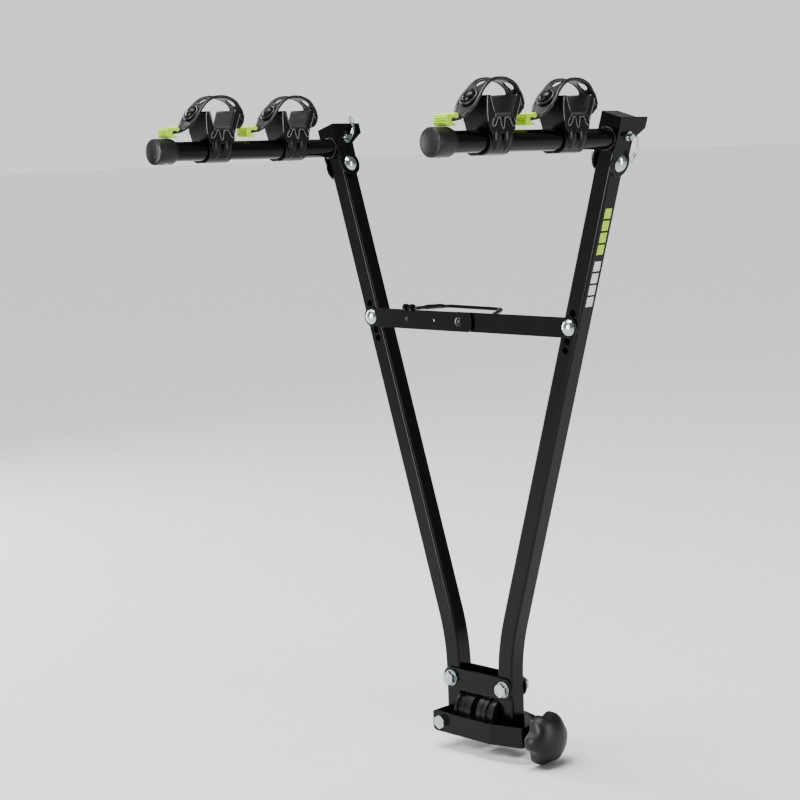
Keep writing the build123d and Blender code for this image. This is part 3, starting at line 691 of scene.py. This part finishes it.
def strap(side, place):
    """Rubber strap: a curved band with a thick border, oval windows, a ringed button and a rear pad."""
    name = f"{side}_{place}"
    here = cradle_matrix(side, place)
    body = f"{name}_strap"
    rows, columns = 110, 16
    points, faces = [], []
    for height in (BAND_HALF_THICK, -BAND_HALF_THICK):
        for row in range(rows + 1):
            distance = BAND.total * row / rows
            half = BAND.half(distance) - 0.8
            for column in range(columns + 1):
                across = half * (2 * column / columns - 1)
                crown = 0.5 * (1 - (across / half) ** 2) if height > 0 else 0.0
                points.append(BAND.spot(distance, across, height - crown))
    width, layer = columns + 1, (columns + 1) * (rows + 1)
    for row in range(rows):
        for column in range(columns):
            a = row * width + column
            faces.append([a, a + 1, a + width + 1, a + width])
            faces.append([layer + a, layer + a + 1, layer + a + width + 1, layer + a + width])
    rim = ([row * width for row in range(rows + 1)] + [rows * width + c for c in range(1, columns + 1)]
           + [row * width + columns for row in range(rows - 1, -1, -1)] + list(range(columns - 1, 0, -1)))
    for a, b in zip(rim, rim[1:] + rim[:1]):
        faces.append([a, b, layer + b, layer + a])
    band = clean(mesh_object(f"{name}_band", points, faces, here), merge=0.001)
    cutters = [window_cutter(f"{name}_cut_{index}", hole, here)
               for index, hole in enumerate(STRAP_WINDOWS)]
    for cutter in cutters:
        opening = band.modifiers.new("opening", "BOOLEAN")
        opening.operation = "DIFFERENCE"
        opening.solver = "EXACT"
        opening.object = cutter
    apply_modifiers(band)
    for cutter in cutters:
        bpy.data.objects.remove(cutter)
    finish(bevelled(band, 0.25, 1, 50), body, "soft_rubber", f"{name}_strap")
    steps = 64
    border = [BAND.spot(BAND.total * i / steps, BAND.half(BAND.total * i / steps) - 1.3, 0.3)
              for i in range(steps + 1)]
    border += [Vector((-p.x, p.y, p.z)) for p in reversed(border)]
    finish(pipe(f"{name}_border", border, 2.0, here, closed=True, steps=12), body, "soft_rubber")
    for index, (centre, long_half, wide_half) in enumerate(STRAP_WINDOWS):
        ring = [BAND.spot(centre + (long_half + 0.5) * cos(2 * pi * i / 28),
                          (wide_half + 0.5) * sin(2 * pi * i / 28), 0.3) for i in range(28)]
        thick = 1.35 if index < 2 else 1.1
        rim = pipe(f"{name}_window_{index}", ring, thick, here, closed=True, steps=12)
        finish(rim, body, "soft_rubber")
    middle, normal = BAND.at(BAND.near(*BUTTON_AT))
    button_place = here @ surface_place(middle, normal)
    rolled = [(0.0, 12.2), (1.8, 12.3), (2.9, 11.6), (3.2, 10.6), (2.7, 9.6), (1.6, 9.0), (0.0, 8.8),
              (0.0, 12.2)]
    ring = lathe(f"{name}_button_ring", rolled, button_place, steps=56)
    finish(ring, body, "soft_rubber")
    dome = [(0.2, 8.0), (2.6, 8.2), (4.1, 7.6), (5.4, 6.2), (6.3, 4.2), (6.8, 2.0), (6.9, 0.05)]
    button = lathe(f"{name}_button", dome, button_place, steps=56)
    finish(button, body, "black_plastic")
    middle, normal = BAND.at(BAND.near(*REAR_PAD_AT))
    pad_place = here @ surface_place(middle, normal)
    stud = [(0.2, 10.6), (1.6, 10.8), (2.4, 10.0), (2.4, 8.6), (1.4, 8.0), (1.4, 6.0), (2.8, 5.6),
            (3.6, 4.2), (3.8, 0.05)]
    pad = lathe(f"{name}_rear_pad", stud, pad_place, steps=48)
    finish(pad, body, "soft_rubber")
    bush = [(-12.0, 3.5), (-12.4, 4.4), (-12.0, 5.0), (12.0, 5.0), (12.4, 4.4), (12.0, 3.5), (-12.0, 3.5)]
    eye = lathe(f"{name}_eye", bush,
                here @ Matrix.Translation((0, STRAP_PIN[0] * MM, STRAP_PIN[1] * MM))
                @ Matrix.Rotation(-pi / 2, 4, "Z"), steps=32)
    finish(eye, body, "soft_rubber")


def window_cutter(name, hole, place):
    """Oval plug that follows the band, for cutting a window."""
    centre, long_half, wide_half = hole
    steps = 36
    turns = [2 * pi * i / steps for i in range(steps)]
    points = [BAND.spot(centre + long_half * cos(turn), wide_half * sin(turn), height)
              for height in (4.0, -4.0) for turn in turns]
    faces = [list(range(steps))[::-1], list(range(steps, 2 * steps))]
    faces += [[i, (i + 1) % steps, steps + (i + 1) % steps, steps + i] for i in range(steps)]
    return clean(mesh_object(name, points, faces, place), merge=0.001)


def surface_place(middle, normal):
    """Frame on the strap's outer face whose y axis points outwards."""
    out = Vector((0, -normal.x, -normal.y)).normalized()
    x_axis = Vector((1, 0, 0))
    rows = Matrix((x_axis, out, x_axis.cross(out))).transposed().to_4x4()
    rows.translation = Vector((0, middle.x, middle.y)) * MM + out * 0.8 * MM
    return rows


def pull_tab(side, place):
    """Bright pull tab: a block with two rounded hooks round the dark tail of the strap."""
    name = f"{side}_{place}"
    here = cradle_matrix(side, place)
    body = f"{name}_strap"
    block = [(-83.6, 29.8), (-82.0, 30.8), (-74.5, 30.2), (-71.0, 31.0), *arc(-67.6, 29.0, 3.2, 100, -85, 8),
             (-70.4, 26.6), (-74.0, 26.6), (-75.8, 25.4), (-76.0, 22.4), (-74.0, 21.0), (-70.5, 20.8),
             (-68.6, 19.2), (-70.4, 17.4), (-79.5, 17.3), (-83.0, 18.2), (-84.2, 19.8)]
    finish(bevelled(prism(f"{name}_pull", block, -10.4, 10.4, here), 1.2, 4, 20), body, "lime_plastic",
           f"{name}_tab")
    core = [(-78.0, 27.4), (-74.4, 27.6), (-73.6, 26.4), (-73.4, 22.0), (-74.4, 20.2), (-78.0, 20.2)]
    finish(bevelled(prism(f"{name}_pull_core", core, -8.6, 8.2, here), 0.8, 3, 20), body, "lime_plastic")
    for index, z in enumerate((21.6, 24.2, 26.8)):
        rib = pipe(f"{name}_pull_rib_{index}", [(-8.5, -83.8, z), (0, -84.0, z), (8.5, -83.8, z)], 0.8, here)
        finish(rib, body, "lime_plastic")
    tail = [(-75.6, 26.6), (-71.0, 27.4), (-64.0, 27.4), (-58.0, 28.0), (-58.0, 24.4), (-66.0, 23.2),
            (-75.4, 22.0)]
    finish(bevelled(prism(f"{name}_tail", tail, -8.0, 9.6, here), 1.2, 3, 20), body, "soft_rubber")


# ---------------------------------------------------------------- jaw, knob and strut wire
def knob():
    """Lobed hand knob with deep finger flutes, a rolled rim and a hollow underside."""
    lobes = 6
    profile = [(130.0, 0.05), (129.7, 7), (128.6, 14), (126.4, 20.5), (123.4, 26.0), (119.6, 30.6),
               (115.5, 33.8), (111.5, 35.6), (107, 36), (103, 36), (101, 35.2), (100, 33.4), (100.4, 28.6),
               (102.5, 26.6), (105, 25), (106.4, 20), (106.4, 9.5), (105.8, 8.6), (105.8, 5.3)]

    def fluted(turn, y, radius):
        """Scallop the radius between lobes, deepest at the rim."""
        near = abs(((turn / (2 * pi) * lobes) % 1.0) - 0.5) * 2
        depth = max(0.0, min(1.0, (radius - 24) / 9)) * 6.2 * max(0.0, min(1.0, (125.0 - y) / 16))
        return radius - depth * 0.5 * (1 + cos(pi * min(1.0, near / 0.8)))

    shift = Matrix.Translation((0, 0, SCREW_Z * MM)) @ Matrix.Rotation(-pi / 2, 4, "Z")
    made = lathe("clamp_knob_shell", profile, shift, steps=144, shape=fluted)
    finish(made, "screw", "black_plastic", "clamp_knob", material="knob_plastic")


def screw_thread():
    """Rolled thread on the clamp screw, between the yoke and the knob."""
    turns, pitch, steps = 13, 1.5, 24
    start = 79.0
    route = []
    for i in range(turns * steps + 1):
        turn = 2 * pi * i / steps
        route.append(Vector((start + pitch * i / steps, THREAD_R * cos(turn), SCREW_Z + THREAD_R * sin(turn))))
    thread = tube_along("clamp_thread", route, 0.42, None, 0.0, 1.0, False, 6)
    finish(thread, "screw", "zinc_steel")


def bail():
    """Bent wire keeper over the strut, with a thicker sleeve at its hinged end."""
    z, low = BAIL_TOP, BAIL_LOW
    route = [(-112, -18, z), (-104, -18, z), (-92, -18, z), (-86, -17.5, z), (-83.0, -12, z),
             (-84, 0, z - 0.6), (-90, 30, z - 2), (-92.0, 41, low), (-87, 45.5, low), (-76, 45.0, low),
             (-30, 42.0, low), (8, 39.2, low), (18, 37.0, low), (23, 30, low - 1), (30, 12, low - 2.5),
             (33, 4, low - 3)]
    grip = [(-83.6, -6, z), (-86.4, 16, z - 1.4), (-90, 30, z - 2), (-91.6, 40, low)]
    sleeve = pipe("bail_sleeve", grip, 3.5)
    finish(sleeve, "bail", "black_steel")
    wire = pipe("bail_wire", route, 2.5, fine=1.2)
    finish(wire, "bail", "black_steel", "lock_bail")


def leg_label():
    """Plain printed bars on the right leg's outer face, without any lettering."""
    place = leg_matrix("right")
    face_x = TUBE_R + 0.06
    for index in range(8):
        low = LABEL_FIRST + index * (LABEL_LENGTH + LABEL_GAP) + (LABEL_BREAK if index > 3 else 0.0)
        high = low + LABEL_LENGTH
        outline = [(-LABEL_HALF, low), (LABEL_HALF, low), (LABEL_HALF, high), (-LABEL_HALF, high)]
        bar = prism(f"label_bar_{index}", outline, face_x - 0.3, face_x + 0.05, place)
        finish(bar, "right_leg", "lime_plastic" if index > 3 else "zinc_steel",
               material="print_lime" if index > 3 else "print_white")


# ---------------------------------------------------------------- studio
def aim(made, target):
    """Turn a light so that it faces a point."""
    made.rotation_euler = (Vector(target) - made.location).to_track_quat("-Z", "Y").to_euler()


def area_light(name, place, target, size, power, mirror_only=False):
    """Rectangular soft light, which may show in reflections only."""
    lamp = bpy.data.lights.new(name, "AREA")
    lamp.shape = "RECTANGLE"
    lamp.size, lamp.size_y = size
    lamp.energy = power
    made = bpy.data.objects.new(name, lamp)
    bpy.context.scene.collection.objects.link(made)
    made.location = place
    made.visible_diffuse = not mirror_only
    aim(made, target)


def studio():
    """Pale floor, soft lights and the camera."""
    floor_z = cad_box[0][2] - 0.002
    far = 60000
    corners = [(-far, -far, 0), (far, -far, 0), (far, far, 0), (-far, far, 0)]
    floor = mesh_object("floor", corners, [[0, 1, 2, 3]], Matrix.Translation((0, 0, floor_z)))
    floor.data.materials.append(surface("floor paper", (0.92, 0.92, 0.92), (0.90, 0.90, 0.90), 0.8, 0.05))
    world = bpy.data.worlds.new("studio")
    bpy.context.scene.world = world
    world.use_nodes = True
    seen = world.node_tree.nodes["Background"]
    seen.inputs["Color"].default_value = (1, 1, 1, 1)
    seen.inputs["Strength"].default_value = WORLD_SEEN
    glow = world.node_tree.nodes.new("ShaderNodeBackground")
    glow.inputs["Color"].default_value = (1, 1, 1, 1)
    glow.inputs["Strength"].default_value = WORLD_LIT
    ray = world.node_tree.nodes.new("ShaderNodeLightPath")
    mix = world.node_tree.nodes.new("ShaderNodeMixShader")
    link = world.node_tree.links.new
    link(ray.outputs["Is Camera Ray"], mix.inputs["Fac"])
    link(glow.outputs["Background"], mix.inputs[1])
    link(seen.outputs["Background"], mix.inputs[2])
    link(mix.outputs["Shader"], world.node_tree.nodes["World Output"].inputs["Surface"])
    sun = bpy.data.lights.new("sun", "SUN")
    sun.angle = radians(50)
    sun.energy = 3.0
    lamp = bpy.data.objects.new("sun", sun)
    bpy.context.scene.collection.objects.link(lamp)
    lamp.rotation_euler = (radians(12), radians(-16), 0)
    middle = (0, -0.1, 0.45)
    area_light("top", (0.2, -0.5, 2.7), middle, (1.4, 0.8), 60)
    area_light("front", (-0.3, -3.2, 0.7), middle, (1.3, 2.8), 260, mirror_only=True)
    area_light("left", (-2.8, -0.3, 0.9), middle, (0.5, 2.6), 90)
    area_light("right", (2.7, 0.6, 0.9), middle, (0.5, 2.6), 80, mirror_only=True)
    eye = bpy.data.cameras.new("camera")
    eye.lens = CAMERA_LENS
    eye.sensor_width = 36.0
    made = bpy.data.objects.new("camera", eye)
    bpy.context.scene.collection.objects.link(made)
    pose = (Matrix.Rotation(CAMERA_TURN, 4, "Z") @ Matrix.Rotation(pi / 2 + CAMERA_TILT, 4, "X")
            @ Matrix.Rotation(-CAMERA_ROLL, 4, "Z"))
    pose.translation = CAMERA_AT
    made.matrix_world = pose
    bpy.context.scene.camera = made


paint_cad()
finish_metalwork()
for arm_side in SIDES:
    weld_ring(arm_side)
    end_cap(arm_side)
    lock_wire(arm_side)
    for arm_place in PLACES:
        cradle_parts(arm_side, arm_place)
        cradle_liner(arm_side, arm_place)
        strap(arm_side, arm_place)
        pull_tab(arm_side, arm_place)
knob()
screw_thread()
bail()
leg_label()
studio()
